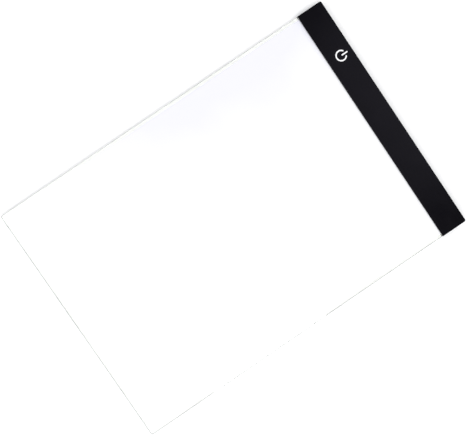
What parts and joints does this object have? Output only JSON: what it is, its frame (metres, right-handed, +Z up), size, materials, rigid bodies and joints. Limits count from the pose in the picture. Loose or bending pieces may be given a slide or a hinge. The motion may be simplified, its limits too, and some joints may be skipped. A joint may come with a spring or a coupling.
{
  "type": "light box",
  "caption": "Slim A4 tracing light box: a flat white lit panel clamped along one short edge by a black strip with a touch key and a micro-USB socket.",
  "frame": {"origin": "on the table, under the middle of the box's outline", "axes": "+X across the width, +Y along the length towards the black strip, +Z up out of the lit face"},
  "size_m": [0.235, 0.34, 0.0069],
  "materials": {
    "black_plastic": "satin, finely textured black ABS",
    "white_plastic": "satin white ABS sheet",
    "clear_acrylic": "clear, polished acrylic",
    "diffuser_film": "matte white diffusing film, lit from below",
    "reflector_film": "white reflecting film",
    "white_tape": "white double-sided tape",
    "white_ink": "white print",
    "board_white": "white solder mask",
    "board_green": "green solder mask",
    "led_package": "white package with a yellow phosphor window",
    "chip_black": "black moulding",
    "chip_tan": "fired ceramic",
    "nickel_steel": "nickel-plated steel",
    "black_steel": "blackened steel",
    "copper_foil": "bare copper foil",
    "silicone": "translucent grey-white silicone",
    "wire_red": "red PVC insulation",
    "wire_black": "black PVC insulation"
  },
  "bodies": {
    "root": {"back_plate": "white_plastic", "rim_tape": "white_tape", "reflector_film": "reflector_film", "light_guide_plate": "clear_acrylic", "diffuser_film": "diffuser_film", "power_icon_ring": "white_ink", "power_icon_bar": "white_ink", "strip_top_cover": "black_plastic", "strip_bottom_cover": "black_plastic", "upper_jaw_tape": "white_tape", "lower_jaw_tape": "white_tape", "led_board": "board_white", "led_01": "led_package", "led_02": "led_package", "led_03": "led_package", "led_04": "led_package", "led_05": "led_package", "led_06": "led_package", "led_07": "led_package", "led_08": "led_package", "led_09": "led_package", "led_10": "led_package", "led_11": "led_package", "led_12": "led_package", "led_13": "led_package", "led_14": "led_package", "led_15": "led_package", "led_16": "led_package", "led_17": "led_package", "led_18": "led_package", "led_19": "led_package", "led_20": "led_package", "led_21": "led_package", "led_22": "led_package", "led_23": "led_package", "led_24": "led_package", "control_board": "board_green", "micro_usb_shell": "nickel_steel", "micro_usb_tongue": "chip_black", "touch_controller": "chip_black", "led_driver_transistor": "chip_black", "current_resistor_1": "chip_black", "current_resistor_2": "chip_black", "filter_capacitor": "chip_tan", "touch_spring": "nickel_steel", "touch_electrode": "copper_foil", "led_wire_positive": "wire_red", "led_wire_negative": "wire_black", "cover_screw_1": "black_steel", "cover_screw_2": "black_steel", "cover_screw_3": "black_steel", "cover_screw_4": "black_steel", "cover_screw_5": "black_steel", "rubber_foot_front_left": "silicone", "rubber_foot_front_right": "silicone", "rubber_foot_back_left": "silicone", "rubber_foot_back_right": "silicone"}
  },
  "joints": []
}
